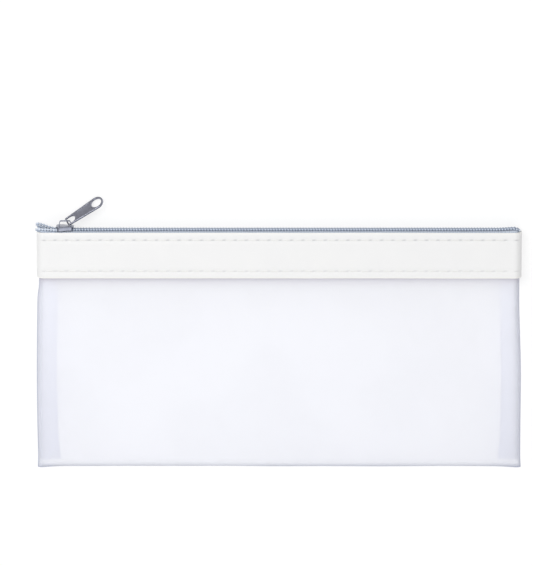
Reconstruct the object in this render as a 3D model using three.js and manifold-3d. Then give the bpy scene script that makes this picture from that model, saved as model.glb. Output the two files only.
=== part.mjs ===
// Zipper money bag: a flat pouch of frosted film, folded at the bottom and welded up both sides,
// with a stitched leatherette band round its mouth and a nylon coil zipper across the top.
// It lies on its back. X runs along the zipper, +Y towards the zipper and +Z out of the front.
// Lengths are in millimetres. The origin is on the back face, in the middle of the pouch.
import * as THREE from 'three';
import { mergeVertices } from 'three/addons/utils/BufferGeometryUtils.js';
import Module from 'manifold-3d';

const wasm = await Module();
wasm.setup();

// Pouch
const bandLength = 216;
const pouchHeight = 107.5;
const pouchTop = 53.5;
const filmThickness = 0.35;
const bottomDepth = 6.8;
const sideRound = 2.5;
const foldRound = 2.5;
const seamAllowance = 8;
const allowanceTopGap = 0.6;
const allowanceBottomGap = 3.5;
const allowanceSpacing = 0.3;
const allowanceBend = 1.5;

// Band round the mouth
const bandHeight = 20.6;
const bandThickness = 0.9;
const bandEdgeRound = 0.3;
const bandRampLength = 5;
const filmBelowBandTop = 1;
const layerGap = 0.1;
const seamGap = 0.1;

// Stitching on the bands
const stitchPitch = 5;
const stitchLength = 4.1;
const stitchWidth = 0.45;
const strandHeight = 0.12;
const stitchInset = 3.3;
const grooveDepth = 0.45;
const grooveWidth = 1;
const stitchClearance = 0.05;

// Zipper tapes
const tapeThickness = 0.45;
const tapeWidth = 13.5;
const tapeEdge = 0.95;
const tapeBendRadius = 0.6;
const tapeRise = 0.3;
const tapeOverhang = 0.4;
const leftEarLength = 9;
const frontEarLift = 0.5;
const rearEarLift = 2.2;

// Zipper coils
const coilPitch = 1.27;
const coilRowWidth = 2.5;
const coilOverlap = 0.9;
const coilThickness = 1.2;
const coilSpineWidth = 1.3;
const toothBase = 0.62;
const toothTip = 0.4;
const coilGap = 0.1;
const coilEndSplay = 0.25;

// Slider
const sliderLength = 7.8;
const sliderFromEnd = 12.7;
const sliderClearance = 0.3;
const coilClearance = 0.2;
const plateThickness = 0.7;
const bottomPlateWidth = 5.4;
const flangeThickness = 0.5;
const flangeClearance = 0.2;
const neckWidth = 1.1;
const neckLength = 2.5;
const neckClearance = 0.15;
const bridgeWidth = 1.1;
const bridgeLength = 6;
const bridgeOpening = 1.95;
const bridgeThickness = 0.5;

// Pull tab
const tabLength = 19;
const tabThickness = 0.9;
const tabNarrowWidth = 4.8;
const tabWideWidth = 6.5;
const tabBar = 0.6;
const tabLoopLength = 3.8;
const tabLoopWidth = 3.8;
const tabEyeRadius = 2.45;
const tabRim = 0.55;
const tabRecess = 0.15;
const tabPivotHeight = 1.15;
const tabPivotForward = 1.3;
const tabSideShift = 0.8;
const tabSwing = THREE.MathUtils.degToRad(38.5);
const tabRoll = THREE.MathUtils.degToRad(37);
const tabDrop = THREE.MathUtils.degToRad(7);

// Half depths at the mouth, from the slider outwards
const tapeInner = bottomPlateWidth / 2 + sliderClearance;
const tapeOuter = tapeInner + tapeThickness;
const filmOuter = tapeOuter + layerGap + filmThickness;
const bandInnerOffset = layerGap;
const bandOuterOffset = layerGap + bandThickness;
const mouthCentre = filmOuter + bandOuterOffset;
const filmHalfLength = bandLength / 2 - bandOuterOffset;
const roundCentre = filmHalfLength - sideRound;
const tapeOuterOffset = tapeOuter - filmOuter;
const tapeInnerOffset = tapeInner - filmOuter;

// Heights along Y
const bandBottom = pouchTop - bandHeight;
const rampEnd = bandBottom - bandRampLength;
const pouchBottom = pouchTop - pouchHeight;
const filmTop = pouchTop - filmBelowBandTop;
const tapeTop = pouchTop + tapeRise;
const foldStart = pouchBottom + foldRound;
const foldCentre = bottomDepth / 2;

// Coil and slider places
const coilHalfWidth = coilRowWidth - coilOverlap / 2;
const neckShift = coilOverlap / 2 + neckWidth / 2 + neckClearance;
const sliderX = -bandLength / 2 + sliderFromEnd;
const tapeLeft = -bandLength / 2 - tapeOverhang;
const tapeRight = filmHalfLength + tapeOuterOffset;
const shoulderX = sliderX - sliderLength * 0.28;
const spreadStart = sliderX + 0.3;

const film = new THREE.MeshStandardMaterial({ color: 0xeef0fa, roughness: 0.45, transparent: true, opacity: 0.45 });
const leatherette = new THREE.MeshStandardMaterial({ color: 0xf0f0ee, roughness: 0.55 });
const thread = new THREE.MeshStandardMaterial({ color: 0xe2e1dd, roughness: 0.8 });
const greyTape = new THREE.MeshStandardMaterial({ color: 0x93a1b3, roughness: 0.9 });
const greyNylon = new THREE.MeshStandardMaterial({ color: 0x8796aa, roughness: 0.5 });
const zincAlloy = new THREE.MeshStandardMaterial({ color: 0x8d8f9c, roughness: 0.35, metalness: 0.9 });

const clamp01 = (t) => Math.min(1, Math.max(0, t));
const smooth = (t) => clamp01(t) ** 2 * (3 - 2 * clamp01(t));
const mix = (a, b, t) => a + (b - a) * t;

// A solid from a triangle geometry, and back
function toSolid(geometry) {
  const bare = geometry.clone();
  bare.deleteAttribute('normal');
  bare.deleteAttribute('uv');
  const merged = mergeVertices(bare, 1e-5);
  return new wasm.Manifold(new wasm.Mesh({
    numProp: 3,
    vertProperties: new Float32Array(merged.attributes.position.array),
    triVerts: new Uint32Array(merged.index.array),
  }));
}

function toGeometry(solid) {
  const mesh = solid.getMesh();
  const geometry = new THREE.BufferGeometry();
  geometry.setAttribute('position', new THREE.BufferAttribute(mesh.vertProperties, 3));
  geometry.setIndex(new THREE.BufferAttribute(mesh.triVerts, 1));
  geometry.computeVertexNormals();
  return geometry;
}

// Triangles gathered as loose corners, then merged and turned so that they face outwards
class Faces {
  constructor() {
    this.corners = [];
  }

  quad(a, b, c, d) {
    this.corners.push(...a, ...b, ...c, ...a, ...c, ...d);
  }

  triangle(a, b, c) {
    this.corners.push(...a, ...b, ...c);
  }

  grid(rows, flip = false) {
    for (let i = 0; i + 1 < rows.length; i += 1) {
      for (let j = 0; j + 1 < rows[i].length; j += 1) {
        const [a, b, c, d] = [rows[i][j], rows[i][j + 1], rows[i + 1][j + 1], rows[i + 1][j]];
        if (flip) this.quad(d, c, b, a);
        else this.quad(a, b, c, d);
      }
    }
  }

  signedVolume() {
    let sum = 0;
    for (let k = 0; k < this.corners.length; k += 9) {
      const [a, b, c] = [0, 3, 6].map((s) => new THREE.Vector3().fromArray(this.corners, k + s));
      sum += a.dot(b.cross(c)) / 6;
    }
    return sum;
  }

  geometry() {
    if (this.signedVolume() < 0) {
      for (let k = 0; k < this.corners.length; k += 9) {
        const second = this.corners.slice(k + 3, k + 6);
        this.corners.splice(k + 3, 6, ...this.corners.slice(k + 6, k + 9), ...second);
      }
    }
    const loose = new THREE.BufferGeometry();
    loose.setAttribute('position', new THREE.Float32BufferAttribute(this.corners, 3));
    const merged = mergeVertices(loose, 1e-5);
    merged.computeVertexNormals();
    return merged;
  }
}

// A closed sheet between two grids of points that have the same rows and columns
function sheet(outer, inner) {
  const faces = new Faces();
  const lastRow = outer.length - 1;
  const lastColumn = outer[0].length - 1;
  faces.grid(outer);
  faces.grid(inner, true);
  for (const [row, flip] of [[0, true], [lastRow, false]]) {
    faces.grid([outer[row], inner[row]], flip);
  }
  for (const [column, flip] of [[0, false], [lastColumn, true]]) {
    faces.grid([outer.map((row) => row[column]), inner.map((row) => row[column])], flip);
  }
  return faces.geometry();
}

// Columns along X: the straight middle, and the quarter rounds that close the pouch at its sides.
// A column gives its place for a layer that lies a given offset outside the film, and its depth factor.
const roundSteps = 5;
function roundColumn(side, angle) {
  const depth = angle >= Math.PI / 2 ? 0 : Math.cos(angle);
  return { x: (offset) => side * (roundCentre + (sideRound + offset) * Math.sin(angle)), depth };
}

function pouchColumns(lastAngle = Math.PI / 2) {
  const left = [];
  const right = [];
  for (let k = 0; k <= roundSteps; k += 1) {
    left.unshift(roundColumn(-1, (lastAngle * k) / roundSteps));
    right.push(roundColumn(1, (lastAngle * k) / roundSteps));
  }
  return [...left, ...right];
}

// Height of the side seam, and how far the front and the back stand from it, at a given Y
function seamHeight(y) {
  return mix(foldCentre, mouthCentre, clamp01((y - foldStart) / (bandBottom - foldStart)));
}

function frontDepth(y) {
  return mix(bottomDepth - foldCentre, filmOuter, clamp01((y - foldStart) / (bandBottom - foldStart)));
}

function backDepth(y) {
  const backHeight = mix(0, bandOuterOffset, clamp01((y - rampEnd) / bandRampLength));
  return seamHeight(y) - backHeight;
}

// The pouch wall: one sheet folded at the bottom and closed at the sides, open at the mouth
function filmRow(y, depthFactor, offset, face) {
  const depth = face > 0 ? frontDepth(y) : backDepth(y);
  const foldY = depthFactor < 1 ? foldStart - (foldRound + offset) * Math.sqrt(1 - depthFactor ** 2) : y;
  return pouchColumns().map((column) => [
    column.x(offset),
    foldY,
    seamHeight(y) + face * (depth + offset) * column.depth * depthFactor,
  ]);
}

function filmGrid(offset, face) {
  const straightRows = [filmTop, bandBottom, rampEnd, foldStart].map((y) => filmRow(y, 1, offset, face));
  const foldSteps = 4;
  const foldRows = [];
  for (let k = 1; k <= foldSteps; k += 1) {
    const depthFactor = k === foldSteps ? 0 : Math.cos((Math.PI / 2) * (k / foldSteps));
    foldRows.push(filmRow(foldStart, depthFactor, offset, face));
  }
  return [...straightRows, ...foldRows];
}

function pouchWall() {
  const faces = new Faces();
  const [frontOuter, frontInner] = [0, -filmThickness].map((offset) => filmGrid(offset, 1));
  const [backOuter, backInner] = [0, -filmThickness].map((offset) => filmGrid(offset, -1));
  faces.grid(frontOuter);
  faces.grid(frontInner, true);
  faces.grid(backOuter, true);
  faces.grid(backInner);
  faces.grid([frontOuter[0], frontInner[0]], true);
  faces.grid([backOuter[0], backInner[0]]);
  return toSolid(faces.geometry());
}

// The seam allowance: the two edges of the sheet, welded together and turned inwards at one side
function seamFlap(side) {
  const flapThickness = 2 * filmThickness;
  const rootX = filmHalfLength - filmThickness / 2;
  const top = pouchTop - tapeWidth - allowanceTopGap;
  const stations = [top, bandBottom, rampEnd, pouchBottom + allowanceBottomGap];
  const rows = (lift) => stations.map((y) => {
    const seam = seamHeight(y);
    const underFront = seam + frontDepth(y) - filmThickness - allowanceSpacing - flapThickness / 2;
    const path = [[rootX, seam], [roundCentre, mix(seam, underFront, 0.7)],
      [roundCentre - allowanceBend, underFront], [rootX - seamAllowance, underFront]];
    return path.map(([x, z]) => [side * x, y, z + lift]);
  });
  return toSolid(sheet(rows(flapThickness / 2), rows(-flapThickness / 2)));
}

function filmPouch() {
  return toGeometry(pouchWall().add(seamFlap(-1)).add(seamFlap(1)));
}

// A band: a strip with rounded edges and a groove for each of its two rows of stitches
function stitchLines() {
  return [pouchTop - stitchInset, bandBottom + stitchInset];
}

function bandGeometry(face) {
  const lastAngle = Math.acos(seamGap / (filmOuter + bandInnerOffset));
  const edge = bandEdgeRound;
  const profile = [
    [pouchTop, bandOuterOffset - edge, bandInnerOffset + edge],
    [pouchTop - edge, bandOuterOffset, bandInnerOffset],
  ];
  for (const y of stitchLines()) {
    profile.push([y + grooveWidth / 2, bandOuterOffset, bandInnerOffset]);
    profile.push([y + grooveWidth / 4, bandOuterOffset - grooveDepth, bandInnerOffset]);
    profile.push([y - grooveWidth / 4, bandOuterOffset - grooveDepth, bandInnerOffset]);
    profile.push([y - grooveWidth / 2, bandOuterOffset, bandInnerOffset]);
  }
  profile.push([bandBottom + edge, bandOuterOffset, bandInnerOffset]);
  profile.push([bandBottom, bandOuterOffset - edge, bandInnerOffset + edge]);
  const rows = (which) => profile.map((point) => pouchColumns(lastAngle).map((column) => [
    column.x(point[which]),
    point[0],
    mouthCentre + face * (filmOuter + point[which]) * column.depth,
  ]));
  return sheet(rows(1), rows(2));
}

// One row of stitches: a thread that dips to the groove's floor between one stitch and the next
function stitchRow(face, y) {
  const count = Math.floor((2 * roundCentre) / stitchPitch);
  const low = filmOuter + bandOuterOffset - grooveDepth + stitchClearance;
  const dip = low + strandHeight;
  const high = filmOuter + bandOuterOffset - stitchClearance;
  const slope = 0.25;
  const startX = -((count - 1) * stitchPitch + stitchLength) / 2;
  const outline = [[-startX, low], [startX, low]];
  for (let k = 0; k < count; k += 1) {
    const x = startX + k * stitchPitch;
    outline.push([x, dip], [x + slope, high], [x + stitchLength - slope, high], [x + stitchLength, dip]);
  }
  const shape = new THREE.Shape(outline.map(([x, depth]) => new THREE.Vector2(x, mouthCentre + face * depth)));
  const row = new THREE.ExtrudeGeometry(shape, { depth: stitchWidth, bevelEnabled: false });
  row.rotateX(Math.PI / 2);
  row.translate(0, y + stitchWidth / 2, 0);
  return toGeometry(toSolid(row));
}

// How far the zipper halves stand apart and up, left of the slider
function coilSpread(x) {
  const wedge = clamp01((spreadStart - x) / (spreadStart - shoulderX));
  const splay = smooth((sliderX - sliderLength / 2 - x) / leftEarLength);
  return neckShift * wedge + coilEndSplay * splay;
}

function earLift(x, face) {
  const lift = face > 0 ? frontEarLift : rearEarLift;
  return lift * smooth((sliderX - sliderLength / 2 - x) / leftEarLength);
}

// A tape half: flat beside the coil, bent down over the mouth's edge and hidden inside the pouch
function tapeColumns() {
  const columns = [];
  const earSteps = 6;
  const earEnd = sliderX - sliderLength / 2;
  for (let k = 0; k < earSteps; k += 1) {
    columns.push(mix(tapeLeft, earEnd, k / earSteps));
  }
  columns.push(earEnd, roundCentre);
  for (let k = 1; k <= roundSteps; k += 1) {
    columns.push(mix(roundCentre, tapeRight, Math.sin((Math.PI / 2) * (k / roundSteps))));
  }
  return columns;
}

function tapePinch(x, offset) {
  const leastDepth = 0.12;
  const across = (Math.abs(x) - roundCentre) / (sideRound + offset);
  return Math.max(leastDepth, Math.sqrt(Math.max(0, 1 - clamp01(across) ** 2)));
}

function tapeGeometry(face) {
  const bendSteps = 4;
  const surface = (half, offset, bendRadius, drop) => {
    const points = [[tapeEdge, tapeTop - drop, 0], [half - bendRadius, tapeTop - drop, 0]];
    for (let k = 1; k <= bendSteps; k += 1) {
      const angle = (Math.PI / 2) * (k / bendSteps);
      const bendY = tapeTop - drop - bendRadius * (1 - Math.cos(angle));
      points.push([half - bendRadius * (1 - Math.sin(angle)), bendY, k / bendSteps]);
    }
    points.push([half, pouchTop - tapeWidth, 1]);
    return points.map(([depth, y, tucked]) => tapeColumns().map((x) => {
      const pinched = x > 0 || tucked === 1 ? tapePinch(x, offset) : mix(1, tapePinch(x, offset), tucked);
      const shortened = mix(x, Math.max(x, -tapeRight), tucked);
      return [shortened, y + earLift(x, face) * (1 - tucked), mouthCentre + face * depth * pinched];
    }));
  };
  const bendOuter = tapeBendRadius + tapeThickness;
  return sheet(
    surface(tapeOuter, tapeOuterOffset, bendOuter, 0),
    surface(tapeInner, tapeInnerOffset, tapeBendRadius, tapeThickness),
  );
}

// One coil: a spine with teeth that mesh with the other coil's, spread apart by the slider's neck.
// Its left end is made tooth by tooth, so that it can bend, and the straight rest in one length.
function coilCells(face) {
  const phase = face > 0 ? 0 : coilPitch / 2;
  const first = Math.ceil((tapeLeft + toothBase - phase) / coilPitch);
  const last = Math.floor((filmHalfLength - toothBase - phase) / coilPitch);
  const bent = Math.ceil((spreadStart - phase) / coilPitch);
  const cells = [];
  for (let k = first; k <= bent; k += 1) {
    const middle = k * coilPitch + phase;
    cells.push({ start: k === first ? tapeLeft : middle - coilPitch / 2, end: middle + coilPitch / 2, teeth: [middle] });
  }
  const straight = [];
  for (let k = bent + 1; k <= last; k += 1) {
    straight.push(k * coilPitch + phase);
  }
  cells.push({ start: straight[0] - coilPitch / 2, end: filmHalfLength, teeth: straight });
  return cells;
}

function coilGeometry(face) {
  const spineEdge = coilHalfWidth - coilSpineWidth;
  const tip = -coilOverlap / 2;
  const place = ([x, depth], height) => [
    x,
    tapeTop + coilGap + earLift(x, face) + height,
    mouthCentre + face * (depth + coilSpread(x)),
  ];
  const faces = new Faces();
  const cells = coilCells(face);
  cells.forEach(({ start, end, teeth }, index) => {
    const outline = [[start, coilHalfWidth], [end, coilHalfWidth], [end, spineEdge]];
    for (const x of [...teeth].reverse()) {
      outline.push([x + toothBase / 2, spineEdge], [x + toothTip / 2, tip]);
      outline.push([x - toothTip / 2, tip], [x - toothBase / 2, spineEdge]);
    }
    outline.push([start, spineEdge]);
    const flat = outline.map(([x, depth]) => new THREE.Vector2(x, depth));
    for (const [a, b, c] of THREE.ShapeUtils.triangulateShape(flat, [])) {
      faces.triangle(...[a, b, c].map((k) => place(outline[k], 0)));
      faces.triangle(...[c, b, a].map((k) => place(outline[k], coilThickness)));
    }
    outline.forEach((point, k) => {
      const next = outline[(k + 1) % outline.length];
      const joinsNext = k === 1 && index < cells.length - 1;
      const joinsLast = k === outline.length - 1 && index > 0;
      if (joinsNext || joinsLast) return;
      faces.quad(place(next, 0), place(next, coilThickness), place(point, coilThickness), place(point, 0));
    });
  });
  return faces.geometry();
}

// A prism from an outline given along X and Z, standing from one height to another along Y
function plate(points, low, high) {
  const shape = new THREE.Shape(points.map(([x, z]) => new THREE.Vector2(x, z)));
  const geometry = new THREE.ExtrudeGeometry(shape, { depth: high - low, bevelEnabled: false });
  geometry.rotateX(Math.PI / 2);
  geometry.translate(0, high, 0);
  return toSolid(geometry);
}

// The slider's outline: narrow over the closed chain, wide where the halves part round the neck
function sliderOutline(narrow, wide) {
  const half = sliderLength / 2;
  const side = [[half - 0.5, narrow - 0.5], [half, narrow - 1.2]];
  const upper = [[-half, wide - 1.4], [-half + 0.4, wide - 0.5], [-half + 1.1, wide], [shoulderX - sliderX, wide],
    [0.9, narrow], [half - 1, narrow]];
  const outline = [...upper, ...side];
  return [...outline, ...outline.map(([x, z]) => [x, -z]).reverse()];
}

function sliderSolid() {
  const narrow = coilHalfWidth + flangeClearance + flangeThickness;
  const wide = coilHalfWidth + neckShift + flangeClearance + flangeThickness;
  const topLow = coilGap + coilThickness + coilClearance;
  const topHigh = topLow + plateThickness;
  const bottomHigh = -tapeThickness - sliderClearance;
  const bottomLow = bottomHigh - plateThickness;
  const half = sliderLength / 2;
  const flangeLow = sliderClearance;

  const topBlock = plate(sliderOutline(narrow, wide), flangeLow, topHigh);
  const channel = sliderOutline(narrow - flangeThickness, wide - flangeThickness)
    .map(([x, z]) => [x * 1.3, z]);
  const topPart = topBlock.subtract(plate(channel, flangeLow - 1, topLow));

  const bottomHalf = bottomPlateWidth / 2;
  const bottomPart = plate([[-half + 0.5, -bottomHalf], [half - 1, -bottomHalf], [half - 0.2, -bottomHalf + 1.1],
    [half - 0.2, bottomHalf - 1.1], [half - 1, bottomHalf], [-half + 0.5, bottomHalf],
    [-half, bottomHalf - 0.8], [-half, -bottomHalf + 0.8]], bottomLow, bottomHigh);

  const neckFront = shoulderX - sliderX - neckLength / 2;
  const neckBack = neckFront + neckLength;
  const neckWide = shoulderX - sliderX;
  const neckHalf = neckWidth / 2;
  const neck = plate([[neckFront, -neckHalf * 0.8], [neckWide, -neckHalf], [neckBack, -0.08],
    [neckBack, 0.08], [neckWide, neckHalf], [neckFront, neckHalf * 0.8]], bottomLow + 0.1, topHigh - 0.1);

  const archTop = topHigh + bridgeOpening;
  const foot = bridgeLength / 2;
  const shoulder = foot - 0.6;
  const opening = foot - bridgeThickness;
  const arch = new THREE.Shape();
  arch.moveTo(-foot, topHigh - 0.2);
  arch.lineTo(-shoulder, archTop + bridgeThickness * 0.35);
  arch.quadraticCurveTo(-shoulder + 0.15, archTop + bridgeThickness, -shoulder + 0.8, archTop + bridgeThickness);
  arch.lineTo(shoulder - 0.8, archTop + bridgeThickness);
  arch.quadraticCurveTo(shoulder - 0.15, archTop + bridgeThickness, shoulder, archTop + bridgeThickness * 0.35);
  arch.lineTo(foot, topHigh - 0.2);
  arch.closePath();
  const archOpening = new THREE.Path();
  archOpening.moveTo(-opening, topHigh);
  archOpening.lineTo(opening, topHigh);
  archOpening.lineTo(opening - 0.3, archTop - 0.4);
  archOpening.quadraticCurveTo(opening - 0.35, archTop, opening - 0.8, archTop);
  archOpening.lineTo(-opening + 0.8, archTop);
  archOpening.quadraticCurveTo(-opening + 0.35, archTop, -opening + 0.3, archTop - 0.4);
  archOpening.closePath();
  arch.holes.push(archOpening);
  const bridgeGeometry = new THREE.ExtrudeGeometry(arch, {
    depth: bridgeWidth, bevelEnabled: false, curveSegments: 4,
  });
  bridgeGeometry.translate(0, 0, -bridgeWidth / 2);
  return topPart.add(bottomPart).add(neck).add(toSolid(bridgeGeometry));
}

// The pull tab, flat, with its pivot bar across the origin and its length along X
function tabOutline(inset) {
  const start = -tabBar / 2 + inset;
  const wide = tabWideWidth / 2 - inset;
  const narrow = tabNarrowWidth / 2 - inset;
  const eyeX = tabLength - tabBar / 2 - tabWideWidth / 2;
  const corner = 0.7;
  const shape = new THREE.Shape();
  shape.moveTo(start + corner, -narrow);
  shape.lineTo(eyeX, -wide);
  shape.absarc(eyeX, 0, wide, -Math.PI / 2, Math.PI / 2, false);
  shape.lineTo(start + corner, narrow);
  shape.quadraticCurveTo(start, narrow, start, narrow - corner);
  shape.lineTo(start, -narrow + corner);
  shape.quadraticCurveTo(start, -narrow, start + corner, -narrow);
  return { shape, eyeX };
}

function tabSolid() {
  const { shape, eyeX } = tabOutline(0);
  const eye = new THREE.Path();
  eye.absarc(eyeX, 0, tabEyeRadius, 0, Math.PI * 2, true);
  const loop = new THREE.Path();
  const loopHalf = tabLoopWidth / 2;
  const loopStart = tabBar / 2;
  const loopRound = tabLoopLength - loopHalf;
  loop.moveTo(loopStart + 0.4, -loopHalf);
  loop.lineTo(loopStart + loopRound, -loopHalf);
  loop.absarc(loopStart + loopRound, 0, loopHalf, -Math.PI / 2, Math.PI / 2, false);
  loop.lineTo(loopStart + 0.4, loopHalf);
  loop.quadraticCurveTo(loopStart, loopHalf, loopStart, loopHalf - 0.4);
  loop.lineTo(loopStart, -loopHalf + 0.4);
  loop.quadraticCurveTo(loopStart, -loopHalf, loopStart + 0.4, -loopHalf);
  shape.holes.push(eye, loop);
  const bevel = 0.12;
  const blank = new THREE.ExtrudeGeometry(shape, {
    depth: tabThickness - 2 * bevel,
    bevelThickness: bevel,
    bevelSize: bevel,
    bevelOffset: -bevel,
    bevelSegments: 1,
    curveSegments: 10,
  });
  blank.translate(0, 0, -tabThickness / 2 + bevel);
  const recessStart = loopStart + tabLoopLength + tabRim;
  const recessEnd = eyeX - tabEyeRadius - tabRim;
  const widthAt = (x) => mix(tabNarrowWidth, tabWideWidth, x / eyeX) / 2 - tabRim - 0.2;
  const recess = new THREE.Shape([
    new THREE.Vector2(recessStart, -widthAt(recessStart)), new THREE.Vector2(recessEnd, -widthAt(recessEnd)),
    new THREE.Vector2(recessEnd, widthAt(recessEnd)), new THREE.Vector2(recessStart, widthAt(recessStart)),
  ]);
  let solid = toSolid(blank);
  for (const side of [-1, 1]) {
    const pocket = new THREE.ExtrudeGeometry(recess, { depth: 1, bevelEnabled: false });
    pocket.translate(0, 0, side > 0 ? tabThickness / 2 - tabRecess : -tabThickness / 2 + tabRecess - 1);
    solid = solid.subtract(toSolid(pocket));
    const thinning = new THREE.BoxGeometry(tabBar + 0.6, tabLoopWidth - 0.4, 1);
    thinning.translate(-0.15, 0, side * (tabBar / 2 + 0.5));
    solid = solid.subtract(toSolid(thinning));
  }
  return solid;
}

// The tab's axes as it lies: its length, its width and its face, askew in the slider's bridge
function tabBasis() {
  const along = new THREE.Vector3(Math.cos(tabSwing), Math.sin(tabSwing), 0);
  const sideways = new THREE.Vector3(Math.sin(tabSwing), -Math.cos(tabSwing), 0);
  const width = new THREE.Vector3(0, 0, Math.cos(tabRoll)).addScaledVector(sideways, Math.sin(tabRoll));
  const face = new THREE.Vector3().crossVectors(width, along);
  const length = along.multiplyScalar(Math.cos(tabDrop)).addScaledVector(face, -Math.sin(tabDrop));
  const normal = new THREE.Vector3().crossVectors(length, width);
  return new THREE.Matrix4().makeBasis(length, width, normal);
}

function named(name, geometry, material) {
  const mesh = new THREE.Mesh(geometry, material);
  mesh.name = name;
  return mesh;
}

const moneyBag = new THREE.Group();
moneyBag.add(named('film_pouch', filmPouch(), film));
moneyBag.add(named('front_band', bandGeometry(1), leatherette));
moneyBag.add(named('back_band', bandGeometry(-1), leatherette));
const [upperLine, lowerLine] = stitchLines();
moneyBag.add(named('front_upper_stitching', stitchRow(1, upperLine), thread));
moneyBag.add(named('front_lower_stitching', stitchRow(1, lowerLine), thread));
moneyBag.add(named('back_upper_stitching', stitchRow(-1, upperLine), thread));
moneyBag.add(named('back_lower_stitching', stitchRow(-1, lowerLine), thread));
moneyBag.add(named('front_zipper_tape', tapeGeometry(1), greyTape));
moneyBag.add(named('rear_zipper_tape', tapeGeometry(-1), greyTape));
moneyBag.add(named('front_zipper_coil', coilGeometry(1), greyNylon));
moneyBag.add(named('rear_zipper_coil', coilGeometry(-1), greyNylon));

const sliderGroup = new THREE.Group();
sliderGroup.position.set(sliderX, tapeTop, mouthCentre);
sliderGroup.add(named('zipper_slider', toGeometry(sliderSolid()), zincAlloy));
const pullTab = named('pull_tab', toGeometry(tabSolid()), zincAlloy);
const plateTop = coilGap + coilThickness + coilClearance + plateThickness;
pullTab.applyMatrix4(tabBasis());
pullTab.position.set(tabPivotForward, plateTop + tabPivotHeight, 0)
  .addScaledVector(new THREE.Vector3(0, 1, 0).transformDirection(tabBasis()), -tabSideShift);
sliderGroup.add(pullTab);
moneyBag.add(sliderGroup);

export default moneyBag;
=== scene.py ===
import math

import bpy
import numpy as np
from mathutils import Matrix, Vector, noise


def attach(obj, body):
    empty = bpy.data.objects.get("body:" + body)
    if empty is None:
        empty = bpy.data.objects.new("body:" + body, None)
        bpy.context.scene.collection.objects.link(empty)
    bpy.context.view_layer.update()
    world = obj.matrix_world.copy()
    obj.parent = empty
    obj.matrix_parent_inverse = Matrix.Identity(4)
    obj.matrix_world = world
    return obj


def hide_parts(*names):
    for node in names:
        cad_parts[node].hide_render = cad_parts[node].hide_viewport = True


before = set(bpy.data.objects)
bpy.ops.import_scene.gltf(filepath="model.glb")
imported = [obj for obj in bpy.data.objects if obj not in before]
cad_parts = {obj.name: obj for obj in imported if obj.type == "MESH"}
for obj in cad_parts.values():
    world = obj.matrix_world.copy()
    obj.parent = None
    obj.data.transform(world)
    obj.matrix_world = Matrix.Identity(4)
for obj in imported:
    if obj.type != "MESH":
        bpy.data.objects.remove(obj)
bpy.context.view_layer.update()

millimetre = 0.001

# Places shared by the pieces, in millimetres, as in the part's source
bag = {
    "pouchTop": 53.5,
    "pouchBottom": -54.0,
    "filmTop": 52.5,
    "bandBottom": 32.9,
    "rampEnd": 27.9,
    "foldStart": -51.5,
    "foldRound": 2.5,
    "sideRound": 2.5,
    "filmHalfLength": 107.0,
    "mouthCentre": 4.9,
    "bottomDepth": 6.8,
    "filmOuter": 3.9,      # half depth of the pouch at its mouth
    "bandOuter": 4.9,      # half depth of the bands
    "tapeTop": 53.8,
    "sliderX": -95.3,
    "sliderLength": 7.8,
}
roundCentre = bag["filmHalfLength"] - bag["sideRound"]

band = {
    "thickness": 0.9,
    "inset": 3.3,        # from the band's edge to its row of stitches
    "pitch": 5.0,
    "count": 41,
    "rowShift": -2.1,    # of the stitches from the band's middle
    "stitchLength": 3.9,
    "threadWidth": 0.5,
    "valley": 0.2,
    "valleyWidth": 1.1,
    "hole": 0.3,
    "turnedRimHighlight": 0.7,          # width of the turned edge, painted lighter as a highlight
    "columnStep": 0.5,
}
stitchHeights = [bag["pouchTop"] - band["inset"], bag["bandBottom"] + band["inset"]]


def clamp01(t):
    return min(1.0, max(0.0, t))


def smooth(t):
    t = clamp01(t)
    return t * t * (3 - 2 * t)


def mix(a, b, t):
    return a + (b - a) * t


def spread(start, end, steps):
    return [mix(start, end, k / steps) for k in range(steps + 1)]


# Smooth noise from -1 to 1 with features of about that size, in millimetres
def ripple(x, y, size, seed=0.0):
    return noise.noise(Vector((x / size, y / size, seed)))


def deselectAll():
    if bpy.context.object and bpy.context.object.mode != "OBJECT":
        bpy.ops.object.mode_set(mode="OBJECT")
    bpy.ops.object.select_all(action="DESELECT")


def pick(*pieces):
    deselectAll()
    for piece in pieces:
        piece.select_set(True)
    bpy.context.view_layer.objects.active = pieces[0]


def applyModifier(piece, kind, **settings):
    pick(piece)
    modifier = piece.modifiers.new(kind.title(), kind)
    for key, value in settings.items():
        setattr(modifier, key, value)
    bpy.ops.object.modifier_apply(modifier=modifier.name)


# A grid whose points are laid by place(column, row), which gives millimetres
def newSheet(name, columns, rows, place, edgeDistance=None):
    deselectAll()
    bpy.ops.mesh.primitive_grid_add(x_subdivisions=columns - 1, y_subdivisions=rows - 1, size=2)
    piece = bpy.context.object
    piece.name = name
    edge = piece.data.attributes.new("edge", "FLOAT", "POINT") if edgeDistance else None
    for vertex in piece.data.vertices:
        column = round((vertex.co.x + 1) / 2 * (columns - 1))
        row = round((vertex.co.y + 1) / 2 * (rows - 1))
        vertex.co = Vector(place(column, row)) * millimetre
        if edge:
            edge.data[vertex.index].value = edgeDistance(column, row)
    return piece


def copyPiece(source, name, matrix):
    piece = bpy.data.objects.new(name, source.data.copy())
    bpy.context.collection.objects.link(piece)
    piece.data.transform(matrix)
    return piece


def joinPieces(name, pieces):
    pick(*pieces)
    bpy.ops.object.join()
    piece = bpy.context.object
    piece.name = name
    return piece


def removePiece(piece):
    bpy.data.objects.remove(piece, do_unlink=True)


def outward(piece):
    pick(piece)
    bpy.ops.object.mode_set(mode="EDIT")
    bpy.ops.mesh.select_all(action="SELECT")
    bpy.ops.mesh.remove_doubles(threshold=1e-6)
    bpy.ops.mesh.normals_make_consistent(inside=False)
    bpy.ops.object.mode_set(mode="OBJECT")


def applyPlace(piece):
    pick(piece)
    bpy.ops.object.transform_apply(location=True, rotation=True, scale=True)


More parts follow.
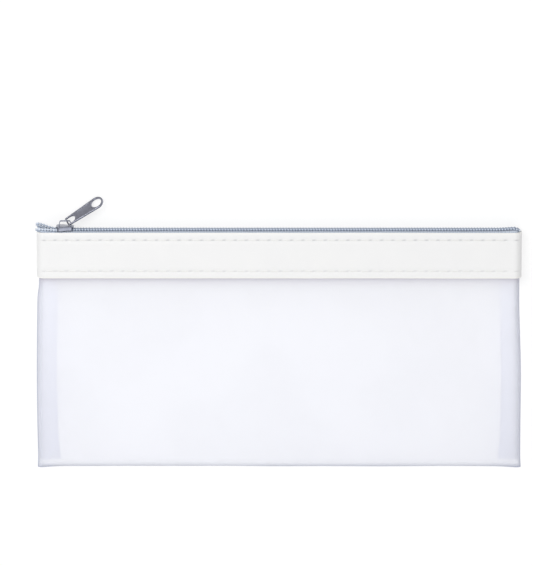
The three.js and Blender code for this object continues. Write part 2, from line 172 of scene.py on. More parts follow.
def dress(piece, material, body, replaced=(), smoothAngle=40):
    pick(piece)
    piece.data.name = piece.name
    piece.data.materials.clear()
    piece.data.materials.append(material)
    bpy.ops.object.shade_smooth_by_angle(angle=math.radians(smoothAngle))
    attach(piece, body)
    if replaced:
        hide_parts(*replaced)
    return piece


# A node's output that takes part in Python expressions
class Wire:

    def __init__(self, finish, socket):
        self.finish = finish
        self.socket = socket

    def maths(self, operation, *values):
        return self.finish.node("ShaderNodeMath", {"operation": operation}, dict(enumerate(values)))

    def __add__(self, other):
        return self.maths("ADD", self, other)

    __radd__ = __add__

    def __sub__(self, other):
        return self.maths("SUBTRACT", self, other)

    def __rsub__(self, other):
        return self.maths("SUBTRACT", other, self)

    def __mul__(self, other):
        return self.maths("MULTIPLY", self, other)

    __rmul__ = __mul__

    def __truediv__(self, other):
        return self.maths("DIVIDE", self, other)

    def clamped(self):
        return self.maths("MAXIMUM", self.maths("MINIMUM", self, 1.0), 0.0)

    def size(self):
        return self.maths("ABSOLUTE", self)

    def sine(self):
        return self.maths("SINE", self)

    # 1 at nothing, fading away over about that length
    def fading(self, length):
        return self.maths("EXPONENT", self.maths("MAXIMUM", self, 0.0) * (-1.0 / length))

    # a soft spot round nothing, about that wide
    def spot(self, width):
        return self.maths("EXPONENT", self * self * (-1.0 / width ** 2))

    # distance from the nearest of a row of places
    def fromRow(self, pitch):
        return self.maths("PINGPONG", self, pitch / 2)

    # 0 below the edge and 1 above it, smoothly
    def above(self, edge, softness):
        return ((self - edge) / softness + 0.5).clamped()


# A material under construction, with its main shader
class Finish:

    def __init__(self, name, **values):
        self.material = bpy.data.materials.new(name)
        self.material.use_nodes = True
        self.tree = self.material.node_tree
        self.shader = self.tree.nodes["Principled BSDF"]
        for key, value in values.items():
            self.set(key, value)
        coordinates = self.tree.nodes.new("ShaderNodeTexCoord")
        self.place = Wire(self, coordinates.outputs["Object"])
        axes = self.tree.nodes.new("ShaderNodeSeparateXYZ")
        self.tree.links.new(coordinates.outputs["Object"], axes.inputs[0])
        self.x, self.y, self.z = (Wire(self, axes.outputs[k]) for k in range(3))

    def set(self, key, value):
        socket = self.shader.inputs[key.replace("_", " ")]
        if isinstance(value, Wire):
            self.tree.links.new(value.socket, socket)
        elif isinstance(value, tuple):
            socket.default_value = (*value, 1.0)[:4]
        else:
            socket.default_value = value

    def node(self, kind, settings=None, inputs=None, output=0):
        made = self.tree.nodes.new(kind)
        for key, value in (settings or {}).items():
            if key == "stops":
                ramp = made.color_ramp
                while len(ramp.elements) < len(value):
                    ramp.elements.new(0.5)
                for element, (at, colour) in zip(ramp.elements, value):
                    element.position = at
                    element.color = (*colour, 1.0)
            else:
                setattr(made, key, value)
        for key, value in (inputs or {}).items():
            if isinstance(value, Wire):
                self.tree.links.new(value.socket, made.inputs[key])
            else:
                made.inputs[key].default_value = value
        return Wire(self, made.outputs[output])

    # A value that the mesh's points carry under that name
    def marked(self, name):
        return self.node("ShaderNodeAttribute", {"attribute_name": name}, output=2)

    # Object coordinates stretched along each axis
    def scaled(self, x, y, z):
        return self.node("ShaderNodeMapping", inputs={"Vector": self.place, "Scale": (x, y, z)})

    def noise(self, scale, detail=2.0, place=None):
        return self.node("ShaderNodeTexNoise", inputs={
            "Vector": place or self.place, "Scale": scale, "Detail": detail, "Roughness": 0.55})

    def cells(self, scale, feature="F1", place=None):
        return self.node("ShaderNodeTexVoronoi", {"feature": feature}, {
            "Vector": place or self.place, "Scale": scale})

    # Colours mixed by a factor: the mix node's colour inputs are numbers 6 and 7
    def blend(self, factor, first, second):
        inputs = {0: factor}
        for key, colour in ((6, first), (7, second)):
            inputs[key] = colour if isinstance(colour, Wire) else (*colour, 1.0)
        return self.node("ShaderNodeMix", {"data_type": "RGBA"}, inputs, output=2)

    def bump(self, height, strength, distance):
        bumped = self.node("ShaderNodeBump", inputs={
            "Height": height, "Strength": strength, "Distance": distance})
        self.set("Normal", bumped)


# Frosted film: cloudy and even, denser along its edges and under the band; its colour holds painted shade,
# darker and bluer along its edges, a painted shadow under the band, and darker towards the bottom and in
# wrinkle streaks
def filmFinish(name, clear, deep, frontDensity, backDensity, edgeShade, lowShade, wrinkleShade):
    film = Finish(name, IOR=1.46, Specular_IOR_Level=0.4)
    cloudy = film.noise(24.0, 3.0)
    frost = film.noise(2600.0, 2.0)
    distance = film.marked("edge")
    # painted shade: the film is darker and bluer along its edges and bottom fold, where it is seen edge-on
    edge = (distance.fading(0.4) * 0.74 + distance.fading(1.3) * 0.22) * edgeShade
    # painted shadow cast by the band's lower edge onto the film
    paintedBandShadow = (bag["bandBottom"] - film.y / millimetre).fading(1.3)
    # painted shade of wrinkles, in streaks along the height
    paintedWrinkleShade = film.noise(110.0, 3.0, film.scaled(1.0, 0.3, 1.0)) * wrinkleShade
    front = (film.z / millimetre).above(2.0, 1.0)
    density = front * (frontDensity - backDensity) + backDensity
    # painted shade: the film grows darker towards the bottom
    paintedLowShade = (1.0 - (film.y / millimetre).above(-15.0, 70.0)) * lowShade
    plain = film.blend((edge + cloudy * 0.03 + paintedLowShade + paintedWrinkleShade).clamped(), clear, deep)
    # the film's colour just under the band is painted shadow in lilac grey
    film.set("Base Color", film.blend(paintedBandShadow * 0.68, plain, (0.33, 0.29, 0.39)))
    film.set("Alpha", (density + edge * 0.45 + paintedBandShadow * 0.3 + cloudy * 0.06 - 0.03).clamped())
    film.set("Roughness", 0.36 + cloudy * 0.12)
    film.bump(frost * 0.6 + film.noise(160.0, 3.0) * 1.6, 0.35, 0.00006)
    return film.material


def leatheretteFinish():
    leather = Finish("IvoryLeatherette", IOR=1.5, Specular_IOR_Level=0.42)
    grain = leather.cells(1500.0, "DISTANCE_TO_EDGE", leather.scaled(1.0, 1.25, 1.0))
    pores = leather.noise(3800.0, 3.0)
    mottle = leather.noise(70.0, 4.0)
    height = leather.y / millimetre
    # painted highlight along the band's rolled top and bottom edges; the same mask makes them a little
    # smoother
    turnedRimHighlight = (height.above(bag["pouchTop"] - band["turnedRimHighlight"], band["turnedRimHighlight"])
           + (1.0 - height.above(bag["bandBottom"] + band["turnedRimHighlight"], band["turnedRimHighlight"])))
    along = (leather.x / millimetre + (band["pitch"] / 2 - band["rowShift"])).fromRow(band["pitch"])
    rows = (height - stitchHeights[0]).spot(0.28) + (height - stitchHeights[1]).spot(0.25) * 0.6
    # painted shade in the valleys along the rows of stitches
    grooveShade = sum((height - line).spot(0.8) for line in stitchHeights)
    # painted shade in the needle holes, dark dashes between the stitches
    holeShade = along.spot(0.95) * rows
    plain = leather.blend(mottle, (0.845, 0.845, 0.85), (0.885, 0.884, 0.88))
    rimHighlighted = leather.blend(turnedRimHighlight.clamped() * 0.8, plain, (0.92, 0.912, 0.885))
    sunk = leather.blend(grooveShade * 0.04, rimHighlighted, (0.55, 0.55, 0.57))
    leather.set("Base Color", leather.blend(holeShade * 0.42, sunk, (0.26, 0.26, 0.28)))
    leather.set("Roughness", 0.46 + mottle * 0.16 - turnedRimHighlight.clamped() * 0.06)
    leather.bump(grain * 0.9 + pores * 0.35 + mottle * 0.4, 0.4, 0.00008)
    return leather.material


def threadFinish():
    thread = Finish("IvoryThread", Specular_IOR_Level=0.3, Sheen_Weight=0.25)
    twist = ((thread.x * 9000.0 + thread.y * 9000.0).sine() + 1.0) * 0.5
    thread.set("Base Color", thread.blend(twist, (0.78, 0.78, 0.77), (0.88, 0.876, 0.86)))
    thread.set("Roughness", 0.62 + twist * 0.15)
    thread.bump(twist, 0.5, 0.00006)
    return thread.material


def tapeFinish():
    tape = Finish("WovenTape", Specular_IOR_Level=0.25, Sheen_Weight=0.3, Sheen_Roughness=0.4)
    warp = ((tape.x * 7600.0).sine() + 1.0) * 0.5
    weft = (((tape.y + tape.z) * 9800.0 + (tape.x * 3800.0).sine() * 1.4).sine() + 1.0) * 0.5
    fibre = tape.noise(3000.0, 3.0, tape.scaled(1.0, 3.0, 3.0))
    weave = (warp * 0.45 + weft * 0.35 + fibre * 0.4).clamped()
    tape.set("Base Color", tape.blend(weave, (0.40, 0.46, 0.56), (0.64, 0.70, 0.80)))
    tape.set("Roughness", 0.78 + fibre * 0.15)
    tape.bump(weave, 0.7, 0.00012)
    return tape.material


def coilFinish():
    coil = Finish("NylonCoil", IOR=1.53, Specular_IOR_Level=0.5)
    streak = coil.noise(900.0, 2.0, coil.scaled(2.0, 1.0, 0.6))
    # painted shade: the coil is darker inside and between its loops, and painted lighter on their outer
    # faces, along the open end and at its foot by the tape
    outside = ((coil.z / millimetre - bag["mouthCentre"]).size()).above(1.8, 0.3)
    opened = 1.0 - (coil.x / millimetre).above(bag["sliderX"] - 3.4, 2.0)
    foot = 1.0 - (coil.y / millimetre).above(bag["tapeTop"] + 0.42, 0.2)
    nylon = coil.blend(streak, (0.64, 0.71, 0.83), (0.80, 0.86, 0.95))
    # lit marks where the coil is painted lighter; elsewhere its colour is painted shade
    lit = (outside + opened * 0.3 + foot * 0.8).clamped()
    coil.set("Base Color", coil.blend(lit, (0.34, 0.40, 0.51), nylon))
    coil.set("Roughness", 0.27 + streak * 0.16)
    coil.bump(streak, 0.2, 0.00005)
    return coil.material


def metalFinish(name, dark, light, roughness):
    metal = Finish(name, Metallic=1.0)
    brushed = metal.noise(1400.0, 3.0)
    cloud = metal.noise(300.0, 2.0)
    metal.set("Base Color", metal.blend(cloud * 0.7 + brushed * 0.3, dark, light))
    metal.set("Roughness", roughness + brushed * 0.14)
    metal.bump(brushed, 0.18, 0.00004)
    return metal.material


casting = {
    "weld": 0.03,          # points closer than this become one before the edges are rounded
    "flatAngle": 3,
    "edgeAngle": 28,
    "sliderBevel": 0.08,
    "tabBevel": 0.06,
    "recessDepth": 0.15,
    "ribPitch": 0.62,
}


# The tab's sunk panel, with fine ribs along it whose troughs are painted darker as shade
def recessFinish():
    recess = Finish("TabRecess", Metallic=1.0)
    ribs = ((recess.marked("across") * (2 * math.pi / casting["ribPitch"])).sine() + 1.0) * 0.5
    speckle = recess.noise(1800.0, 3.0)
    # painted shade in the troughs between the ribs, with random speckle
    ribShadeAndSpeckle = (ribs * 0.6 + speckle * 0.4).clamped()
    recess.set("Base Color", recess.blend(ribShadeAndSpeckle, (0.15, 0.155, 0.19), (0.34, 0.345, 0.40)))
    recess.set("Roughness", 0.40 + speckle * 0.15)
    recess.bump(ribs, 0.6, 0.00012)
    return recess.material


finishes = {
    # deep is the colour of the film's painted shade along its edges and fold, in its wrinkle streaks and
    # towards its bottom
    "film": filmFinish(
        "FrostedFilm", clear=(0.882, 0.888, 0.928), deep=(0.31, 0.35, 0.51),
        frontDensity=0.64, backDensity=0.74, edgeShade=1.0, lowShade=0.03, wrinkleShade=0.0),
    "allowance": filmFinish(
        "FrostedFilmAllowance", clear=(0.84, 0.86, 0.96), deep=(0.44, 0.47, 0.65),
        frontDensity=0.75, backDensity=0.75, edgeShade=0.4, lowShade=0.55, wrinkleShade=0.25),
    "leatherette": leatheretteFinish(),
    "thread": threadFinish(),
    "tape": tapeFinish(),
    "coil": coilFinish(),
    "slider": metalFinish("SliderNickel", (0.16, 0.172, 0.215), (0.36, 0.38, 0.455), 0.2),
    "tabRim": metalFinish("TabRim", (0.24, 0.245, 0.29), (0.42, 0.425, 0.50), 0.2),
    "tabRecess": recessFinish(),
}
print("materials made")


pouch = {
    "filmThickness": 0.35,
    "columnsFlat": 84,
    "rowsFlat": 50,
    "roundSteps": 7,
    "foldSteps": 5,
    "wave": 0.32,        # slack of the front panel
    "pucker": 0.22,      # ripples along the side seams
    "allowance": 8.2,
    "allowanceGap": 0.32,
    "leftSwell": 1.45,
    "rightSwell": 1.1,
    "cornerSwell": 0.3,
    "cornerDrop": 0.6,
    "foldWave": 0.35,
}


def seamHeight(y):
    t = clamp01((y - bag["foldStart"]) / (bag["bandBottom"] - bag["foldStart"]))
    return mix(bag["bottomDepth"] / 2, bag["mouthCentre"], t)


def frontDepth(y):
    t = clamp01((y - bag["foldStart"]) / (bag["bandBottom"] - bag["foldStart"]))
    return mix(bag["bottomDepth"] / 2, bag["filmOuter"], t)


def backDepth(y):
    ramp = clamp01((y - bag["rampEnd"]) / (bag["bandBottom"] - bag["rampEnd"]))
    return seamHeight(y) - ramp * (bag["bandOuter"] - bag["filmOuter"])


# How far the front panel stands off its flat place, fading towards the seams and the band
def slack(x, y):
    free = smooth((roundCentre - abs(x)) / 22) * smooth((bag["bandBottom"] - y) / 14)
    free *= smooth((y - bag["foldStart"]) / 14)
    broad = ripple(x, y * 1.4, 46, 3.1) * 0.75 + ripple(x, y, 19, 8.4) * 0.35
    return free * pouch["wave"] * broad


def pucker(x, y):
    near = math.exp(-abs(roundCentre - abs(x)) / 5.5) * smooth((bag["bandBottom"] - y) / 5)
    return near * pouch["pucker"] * ripple(x * 0.2, y, 5.5, 5.7 if x > 0 else 1.2)


# The left side swells a little below its middle, and both bottom corners stand out as small ears
def sideBulge(x, y):
    if x < 0:
        swell = pouch["leftSwell"] * math.exp(-((y + 20) / 58) ** 2)
    else:
        swell = pouch["rightSwell"] * smooth((26 - y) / 40)
    corner = pouch["cornerSwell"] * math.exp(-((y - bag["pouchBottom"]) / 3.0) ** 2)
    return (swell + corner) * smooth((abs(x) - roundCentre + 9) / 10)


def shellColumns():
    columns = [(x, 1.0) for x in spread(-roundCentre, roundCentre, pouch["columnsFlat"])]
    for k in range(1, pouch["roundSteps"] + 1):
        angle = math.pi / 2 * k / pouch["roundSteps"]
        x = roundCentre + bag["sideRound"] * math.sin(angle)
        depth = max(0.0, math.cos(angle))
        columns.append((x, depth))
        columns.insert(0, (-x, depth))
    return columns


# Each row's height, its depth factor and the face that it is on
def shellRows():
    heights = spread(bag["filmTop"], bag["foldStart"], pouch["rowsFlat"])
    front = [(y, 1.0, 1) for y in heights]
    fold = []
    for k in range(1, 2 * pouch["foldSteps"]):
        angle = math.pi / 2 * k / pouch["foldSteps"]
        fold.append((bag["foldStart"], math.cos(angle), 1 if k <= pouch["foldSteps"] else -1))
    back = [(y, 1.0, -1) for y in reversed(heights)]
    return front + fold + back


def makeShell():
    columns = shellColumns()
    rows = shellRows()

    def place(column, row):
        x, across = columns[column]
        y, turn, face = rows[row]
        depth = frontDepth(y) if face > 0 else backDepth(y)
        lift = across * abs(turn)
        z = seamHeight(y) + face * depth * lift
        if y == bag["foldStart"] and abs(turn) < 1:
            corner = 1 - 0.12 * (1 - across)
            y -= bag["foldRound"] * math.sqrt(1 - turn * turn) * corner
        if face > 0:
            z += (slack(x, y) + pucker(x, y)) * lift
        else:
            z += max(0.0, ripple(x, y, 30, 6.6)) * 0.25 * lift * smooth((bag["rampEnd"] - y) / 12)
        bulge = sideBulge(x, y) * smooth((bag["bandBottom"] - 2 - y) / 8)
        fold = smooth((y - bag["pouchBottom"]) / -4 + 1)
        drop = pouch["cornerDrop"] * math.exp(-((abs(x) - bag["filmHalfLength"]) / 6) ** 2)
        y += (pouch["foldWave"] * ripple(x, 0, 38, 2.5) - drop) * fold
        return x + math.copysign(bulge, x), y, z

    def edgeDistance(column, row):
        fromSide = bag["filmHalfLength"] - abs(columns[column][0])
        return min(fromSide, 1.2 * max(0.0, place(column, row)[1] - bag["pouchBottom"]))

    shell = newSheet("frosted_film_pouch", len(columns), len(rows), place, edgeDistance)
    outward(shell)
    shell.visible_shadow = False    # frosted film scatters the light on rather than stopping it
    return shell


# The two raw edges of the film, welded together and turned inwards under the front panel
def makeAllowance(side, name):
    path = spread(0.0, 1.0, 12)
    heights = spread(39.3, -50.6, 90)

    def place(column, row):
        t = path[column]
        y = heights[row]
        low = smooth((-38 - y) / 14)
        inner = pouch["allowance"] + low * 1.3 + 0.35 * ripple(side * 30, y, 16, 4.4)
        x = bag["filmHalfLength"] - 0.5 - t * inner
        x += 0.7 * sideBulge(side * roundCentre, y)
        top = seamHeight(y) + frontDepth(y) - pouch["filmThickness"] - pouch["allowanceGap"] - 0.2
        z = mix(seamHeight(y), top, smooth(t / 0.32))
        wrinkle = ripple(x * 0.5, y, 4.5, 7.7) * 0.22 + ripple(x + y, y - x, 6.5, 9.1) * 0.5 * low
        return side * x, y + low * 0.6 * t, z - abs(wrinkle) * smooth(t / 0.4)

    def edgeDistance(column, row):
        return (1 - path[column]) * pouch["allowance"]

    piece = newSheet(name, len(path), len(heights), place, edgeDistance)
    outward(piece)
    piece.visible_shadow = False
    return piece


dress(makeShell(), finishes["film"], "bag", ["film_pouch"])
dress(makeAllowance(-1, "left_seam_allowance"), finishes["allowance"], "bag")
dress(makeAllowance(1, "right_seam_allowance"), finishes["allowance"], "bag")
print("pouch made")


# Heights across the band, closest together at its edges and at the rows of stitches
def bandRows():
    low, high = bag["bandBottom"], bag["pouchTop"]
    rows = {low, low + 0.12, low + 0.3, low + 0.6, high - 0.6, high - 0.3, high - 0.12, high}
    for line in stitchHeights:
        rows.update(line + offset for offset in (-2.0, -1.4, -0.95, -0.6, -0.3, 0, 0.3, 0.6, 0.95, 1.4, 2.0))
    rows.update(spread(low + 5.9, high - 5.9, 6))
    return sorted(rows)


# How deep the band is drawn in at a place by its stitches
def dip(x, y):
    deep = 0.0
    first = band["rowShift"] - (band["count"] - 1) / 2 * band["pitch"]
    for line in stitchHeights:
        across = abs(y - line)
        if across > 2.4:
            continue
        along = (x - first + band["pitch"] / 2) % band["pitch"]
        hole = min(along, band["pitch"] - along)
        deep += band["valley"] * math.exp(-(across / band["valleyWidth"]) ** 2)
        deep += band["hole"] * math.exp(-(across / 0.5) ** 2 - (hole / 0.75) ** 2)
    return deep * smooth((roundCentre - abs(x) + 1.5) / 3)


def makeBand(face, name):
    rows = bandRows()
    thickness = band["thickness"]
    middle = bag["bandOuter"] - thickness / 2
    steps = int(2 * roundCentre / band["columnStep"])
    columns = [(x, 1.0, 0.0) for x in spread(-roundCentre, roundCentre, steps)]
    radius = bag["sideRound"] + middle - bag["filmOuter"]
    lastAngle = math.acos(0.12 / (bag["filmOuter"] + 0.1))
    for k in range(1, 11):
        angle = lastAngle * k / 10
        columns.append((roundCentre + radius * math.sin(angle), math.cos(angle), 1.0))
        columns.insert(0, (-roundCentre - radius * math.sin(angle), math.cos(angle), 1.0))

    def place(column, row):
        x, across, _ = columns[column]
        y = rows[row]
        edge = min(y - bag["bandBottom"], bag["pouchTop"] - y)
        roll = 0.28 * (1 - smooth(edge / 1.1))
        swell = 0.12 * ripple(x, y * 2, 34, 12.0 + face) + 0.05 * ripple(x, y, 9, 3.0)
        depth = (middle - roll - dip(x, y) + min(0.12, swell) - 0.1) * across
        y += 0.16 * ripple(x, 0, 60, 5.0 + face) * (1 if edge < 2 else 0.6)
        return x, y, bag["mouthCentre"] + face * depth

    piece = newSheet(name, len(columns), len(rows), place)
    applyModifier(piece, "SOLIDIFY", thickness=(thickness - 0.16) * millimetre, offset=0.0)
    applyModifier(piece, "BEVEL", width=0.26 * millimetre, segments=3, limit_method="ANGLE",
                  angle_limit=math.radians(60), use_clamp_overlap=True)
    outward(piece)
    return piece


# A row of thread lengths that dive into the band at their ends, copied from one
def makeStitches(face, y, name):
    deselectAll()
    bpy.ops.mesh.primitive_uv_sphere_add(segments=10, ring_count=9, radius=1, rotation=(0, math.pi / 2, 0))
    first = bpy.context.object
    applyPlace(first)
    half = band["stitchLength"] / 2
    for vertex in first.data.vertices:
        t = vertex.co.x
        along = math.copysign(abs(t) ** 0.8, t)
        ring = math.sqrt(max(0.0, 1 - t * t))
        girth = (max(0.0, 1 - along ** 4)) ** 0.5 / ring if ring > 1e-4 else 0
        vertex.co = Vector((
            along * half,
            vertex.co.y * girth * band["threadWidth"] / 2,
            vertex.co.z * girth * band["threadWidth"] / 2 - 0.42 * abs(along) ** 4,
        )) * millimetre
    surface = bag["mouthCentre"] + face * (bag["bandOuter"] - 0.1 - 0.3)
    copies = []
    for k in range(band["count"]):
        x = band["rowShift"] + (k - (band["count"] - 1) / 2) * band["pitch"]
        tilt = Matrix.Rotation(math.radians(2.2) * ripple(k * 7, y, 5, face), 4, "Z")
        turn = Matrix.Rotation(math.pi if face < 0 else 0, 4, "X")
        place = Matrix.Translation(Vector((x, y, surface)) * millimetre)
        copies.append(copyPiece(first, f"{name}_{k}", place @ tilt @ turn))
    removePiece(first)
    return joinPieces(name, copies)


for face, side in ((1, "front"), (-1, "back")):
    wrap = makeBand(face, f"{side}_leatherette_band")
    dress(wrap, finishes["leatherette"], "bag", [f"{side}_band"])
    for line, which in zip(stitchHeights, ("upper", "lower")):
        row = makeStitches(face, line, f"{side}_{which}_stitches")
        dress(row, finishes["thread"], "bag", [f"{side}_{which}_stitching"])
print("bands and stitches made")


zipper = {
    "tapeThickness": 0.42,
    "tapeEdge": 0.95,
    "tapeBend": 0.82,
    "tapeInner": 3.0,
    "tapeOuter": 3.45,
    "tapeWidth": 13.5,
    "tapeLeft": -108.4,
    "earLength": 9.0,
    "earLift": {1: 0.5, -1: 2.2},
    "closedLift": 0.45,
    "closedDrop": 0.8,
    "pitch": 1.27,
    "rowHalfWidth": 2.05,
    "overlap": 0.45,
    "coilGap": 0.02,
    "coilThickness": 1.2,
    "wire": 0.29,
    "openCord": (0.33, 0.55),      # half height and half depth of the cord in the coil
    "closedCord": (0.38, 0.66),
    "neckShift": 1.15,
    "endSplay": 0.25,
}
sliderLeft = bag["sliderX"] - bag["sliderLength"] / 2
shoulderX = bag["sliderX"] - bag["sliderLength"] * 0.28
spreadStart = bag["sliderX"] + 0.3


# How far the zipper's edge stands up at its open end, and a little at the closed one
def earLift(x, face):
    closedEnd = zipper["closedLift"] * smooth((x - bag["filmHalfLength"] + 10) / 9)
    closedEnd -= zipper["closedDrop"] * smooth((x - bag["filmHalfLength"] + 2.6) / 2.8)
    return zipper["earLift"][face] * smooth((sliderLeft - x) / zipper["earLength"]) + closedEnd


def coilSpread(x):
    wedge = clamp01((spreadStart - x) / (spreadStart - shoulderX))
    splay = smooth((sliderLeft - x) / zipper["earLength"])
    return zipper["neckShift"] * wedge + zipper["endSplay"] * splay


def makeTape(face, name):
    middle = (zipper["tapeInner"] + zipper["tapeOuter"]) / 2
    bend = zipper["tapeBend"]
    top = bag["tapeTop"] - zipper["tapeThickness"] / 2 - 0.01
    profile = [(depth, top, 0.0) for depth in spread(zipper["tapeEdge"], middle - bend, 4)]
    for k in range(1, 8):
        angle = math.pi / 2 * k / 7
        profile.append((middle - bend * (1 - math.sin(angle)), top - bend * (1 - math.cos(angle)), k / 7))
    for y in spread(bag["tapeTop"] - 1.6, bag["pouchTop"] - zipper["tapeWidth"], 5):
        profile.append((middle, y, 1.0))
    right = bag["filmHalfLength"] - 0.55
    columns = spread(zipper["tapeLeft"], sliderLeft, 16) + spread(sliderLeft, roundCentre, 130)[1:]
    columns += [mix(roundCentre, right, math.sin(math.pi / 2 * k / 6)) for k in range(1, 7)]

    def place(column, row):
        x = columns[column]
        depth, y, tucked = profile[row]
        across = clamp01((abs(x) - roundCentre) / (right - roundCentre))
        pinch = max(0.12, math.sqrt(max(0.0, 1 - across * across)))
        if x < 0:
            pinch = mix(1.0, pinch, tucked)
        y += earLift(x, face) * (1 - tucked) + 0.05 * ripple(x, face * 9, 11, 2.0) * (1 - tucked)
        curl = 0.25 * smooth((-105.5 - x) / 3) * (1 - tucked)
        x = mix(x, max(x, -right), tucked)
        return x, y + curl, bag["mouthCentre"] + face * depth * pinch

    piece = newSheet(name, len(columns), len(profile), place)
    applyModifier(piece, "SOLIDIFY", thickness=zipper["tapeThickness"] * millimetre, offset=0.0)
    outward(piece)
    return piece


# Loops of nylon wire round a cord, copied from one flat ring
def makeCoil(face, name):
    deselectAll()
    wire = zipper["wire"]
    bpy.ops.mesh.primitive_torus_add(major_segments=14, minor_segments=6, major_radius=1.0, minor_radius=0.3,
                                     rotation=(0, math.pi / 2, 0))
    ring = bpy.context.object
    applyPlace(ring)
    halfHeight = zipper["coilThickness"] / 2 - wire
    halfDepth = (zipper["rowHalfWidth"] + zipper["overlap"]) / 2 - wire
    for vertex in ring.data.vertices:
        co = vertex.co
        radius = math.hypot(co.y, co.z)
        out = (radius - 1.0) / 0.3
        ry, rz = co.y / radius, co.z / radius
        corner = (abs(ry) ** 4 + abs(rz) ** 4) ** -0.25    # a rounded oblong, not an oval
        head = 1.0 + 0.28 * smooth(-rz * 1.4 - 0.4)    # thicker where it hooks
        head += 0.14 * smooth(rz * 1.4 - 0.4)          # and a little where it turns
        lean = 0.17 * rz
        vertex.co = Vector((
            co.x / 0.3 * wire * head + lean,
            ry * corner * halfHeight + ry * out * wire,
            rz * corner * halfDepth + rz * out * wire,
        )) * millimetre
    centre = (zipper["rowHalfWidth"] - zipper["overlap"]) / 2
    left = zipper["tapeLeft"] + 0.5
    phase = 0.0 if face > 0 else zipper["pitch"] / 2
    first = math.ceil((left - phase) / zipper["pitch"])
    last = math.floor((bag["filmHalfLength"] - 0.1 - phase) / zipper["pitch"])
    copies = []
    for k in range(first, last + 1):
        x = k * zipper["pitch"] + phase
        y = bag["tapeTop"] + zipper["coilGap"] + zipper["coilThickness"] / 2 + earLift(x, face)
        slope = (earLift(x + 0.1, face) - earLift(x - 0.1, face)) / 0.2
        z = bag["mouthCentre"] + face * (centre + coilSpread(x))
        place = Matrix.Translation(Vector((x, y, z)) * millimetre) @ Matrix.Rotation(math.atan(slope), 4, "Z")
        if face < 0:
            place = place @ Matrix.Rotation(math.pi, 4, "Y")
        copies.append(copyPiece(ring, f"{name}_{k}", place))
    removePiece(ring)
    copies.append(makeCoilCord(face, f"{name}_cord"))
    piece = joinPieces(name, copies)
    outward(piece)
    return piece


def makeCoilCord(face, name):
    stations = spread(zipper["tapeLeft"], sliderLeft, 14) + spread(sliderLeft, spreadStart, 8)[1:]
    stations += spread(spreadStart, bag["filmHalfLength"] - 0.3, 60)[1:]

    def place(column, row):
        x = stations[row]
        angle = 2 * math.pi * column / 8
        y = bag["tapeTop"] + zipper["coilGap"] + zipper["coilThickness"] / 2 + earLift(x, face)
        z = bag["mouthCentre"] + face * (1.0 + coilSpread(x))
        closed = smooth((x - spreadStart) / 2)
        halfHeight = mix(zipper["openCord"][0], zipper["closedCord"][0], closed)
        halfDepth = mix(zipper["openCord"][1], zipper["closedCord"][1], closed)
        return x, y + halfHeight * math.cos(angle), z + halfDepth * math.sin(angle)

    return closedTube(name, 8, len(stations), place)


def closedTube(name, sides, stations, place):
    piece = newSheet(name, sides + 1, stations, place)
    pick(piece)
    bpy.ops.object.mode_set(mode="EDIT")
    bpy.ops.mesh.select_all(action="SELECT")
    bpy.ops.mesh.remove_doubles(threshold=1e-6)
    bpy.ops.mesh.select_all(action="DESELECT")
    bpy.ops.mesh.select_mode(type="EDGE")
    bpy.ops.mesh.select_non_manifold()
    bpy.ops.mesh.fill_holes(sides=0)
    bpy.ops.object.mode_set(mode="OBJECT")
    return piece


for face, side in ((1, "front"), (-1, "rear")):
    tape = makeTape(face, f"{side}_woven_tape")
    dress(tape, finishes["tape"], "bag", [f"{side}_zipper_tape"])
    coil = makeCoil(face, f"{side}_nylon_coil")
    dress(coil, finishes["coil"], "bag", [f"{side}_zipper_coil"], smoothAngle=60)
print("zipper made")


# The directions along a flat piece, across it and out of its face, and its middle
def flatFrame(piece):
    points = np.array([vertex.co for vertex in piece.data.vertices])
    middle = (points.min(axis=0) + points.max(axis=0)) / 2
    values, vectors = np.linalg.eigh(np.cov((points - middle).T))
    return [Vector(vectors[:, k]) for k in (2, 1, 0)], Vector(middle)


# A CAD node's shape with its edges rounded as a casting's are
def castCopy(node, name, bevel, segments=3):
    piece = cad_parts[node].copy()
    piece.data = piece.data.copy()
    piece.name = name
    bpy.context.collection.objects.link(piece)
    piece.parent = None
    piece.matrix_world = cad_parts[node].matrix_world
    applyPlace(piece)
    bpy.ops.object.mode_set(mode="EDIT")
    bpy.ops.mesh.select_all(action="SELECT")
    bpy.ops.mesh.remove_doubles(threshold=casting["weld"] * millimetre)
    bpy.ops.mesh.dissolve_limited(angle_limit=math.radians(casting["flatAngle"]))
    bpy.ops.mesh.normals_make_consistent(inside=False)
    bpy.ops.object.mode_set(mode="OBJECT")
    applyModifier(piece, "BEVEL", width=bevel * millimetre, segments=segments, limit_method="ANGLE",
                  angle_limit=math.radians(casting["edgeAngle"]), use_clamp_overlap=False)
    return piece


# Gives the faces that lie below the tab's rim the sunk panel's finish
def finishRecess(piece):
    (along, sideways, out), middle = flatFrame(piece)
    across = piece.data.attributes.new("across", "FLOAT", "POINT")
    for vertex in piece.data.vertices:
        across.data[vertex.index].value = (vertex.co - middle).dot(sideways) / millimetre
    top = max(abs((vertex.co - middle).dot(out)) for vertex in piece.data.vertices)
    piece.data.materials.append(finishes["tabRecess"])
    for face in piece.data.polygons:
        height = abs((face.center - middle).dot(out))
        sunk = height < top - casting["recessDepth"] * 0.5 * millimetre
        if sunk and abs(face.normal.dot(out)) > 0.9:
            face.material_index = 1


slider = castCopy("zipper_slider", "cast_slider", casting["sliderBevel"])
dress(slider, finishes["slider"], "slider", ["zipper_slider"])
tab = castCopy("pull_tab", "cast_pull_tab", casting["tabBevel"], 2)
dress(tab, finishes["tabRim"], "pull", ["pull_tab"])
finishRecess(tab)
print("slider and pull tab made")


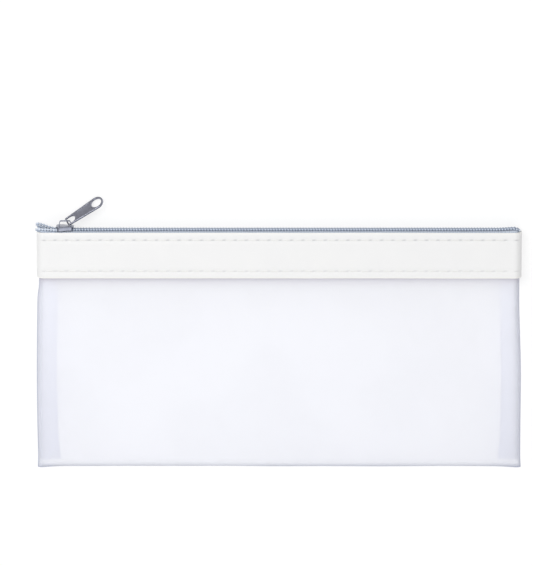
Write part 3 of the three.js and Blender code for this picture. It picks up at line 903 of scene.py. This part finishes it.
studio = {
    "tilt": math.radians(11),
    "distance": 2.4,
    "target": (-5.7, 30.05, 5.0),
    "lens": 342.5,
    "floorColour": 0.92,
    "floorSeen": 0.3,      # colour and glow of the floor as it is seen, which add up to white
    "floorGlow": 0.72,
    "skyStrength": 0.56,
}
# Each lamp's place, target, size and power
lamps = {
    "key": ((-0.45, 0.46, 1.05), (0, 0.02, 0), (0.7, 0.5), 5.9),
    "fill": ((0.2, -0.45, 1.1), (0, 0, 0), (0.9, 0.9), 3.0),
}


def makeFloor():
    deselectAll()
    bpy.ops.mesh.primitive_plane_add(size=6, location=(0, 0, -0.0002))
    floor = bpy.context.object
    floor.name = "floor"
    plain = Finish("Floor", Roughness=0.9, Specular_IOR_Level=0.1)
    paths = plain.tree.nodes.new("ShaderNodeLightPath")
    seen = sum((Wire(plain, paths.outputs[name]) for name in ("Is Glossy Ray", "Is Transmission Ray")),
               Wire(plain, paths.outputs["Is Camera Ray"])).clamped()
    plain.set("Base Color", plain.blend(seen, (studio["floorColour"],) * 3, (studio["floorSeen"],) * 3))
    plain.set("Emission Color", (1.0, 1.0, 1.0))
    plain.tree.links.new((seen * studio["floorGlow"]).socket, plain.shader.inputs["Emission Strength"])
    floor.data.materials.append(plain.material)


def makeLamp(name, place, target, size, power):
    data = bpy.data.lights.new(name, "AREA")
    data.shape = "RECTANGLE"
    data.size, data.size_y = size
    data.energy = power
    lamp = bpy.data.objects.new(name, data)
    bpy.context.collection.objects.link(lamp)
    lamp.location = place
    lamp.rotation_euler = (Vector(target) - Vector(place)).to_track_quat("-Z", "Y").to_euler()


def makeCamera():
    data = bpy.data.cameras.new("camera")
    camera = bpy.data.objects.new("camera", data)
    bpy.context.collection.objects.link(camera)
    data.lens = studio["lens"]
    data.sensor_width = 36
    data.clip_start, data.clip_end = 0.05, 20
    target = Vector(studio["target"]) * millimetre
    away = Vector((0, math.sin(studio["tilt"]), math.cos(studio["tilt"])))
    up = Vector((0, math.cos(studio["tilt"]), -math.sin(studio["tilt"])))
    side = up.cross(away)
    camera.matrix_world = Matrix((
        (side.x, up.x, away.x, 0), (side.y, up.y, away.y, 0), (side.z, up.z, away.z, 0), (0, 0, 0, 1)))
    camera.location = target + away * studio["distance"]
    bpy.context.scene.camera = camera


makeFloor()
for name, values in lamps.items():
    makeLamp(name, *values)
makeCamera()
world = bpy.data.worlds.new("studio")
world.use_nodes = True
world.node_tree.nodes["Background"].inputs["Color"].default_value = (1, 1, 1, 1)
world.node_tree.nodes["Background"].inputs["Strength"].default_value = studio["skyStrength"]
bpy.context.scene.world = world
bpy.context.scene.view_settings.view_transform = "Standard"
print("studio made")
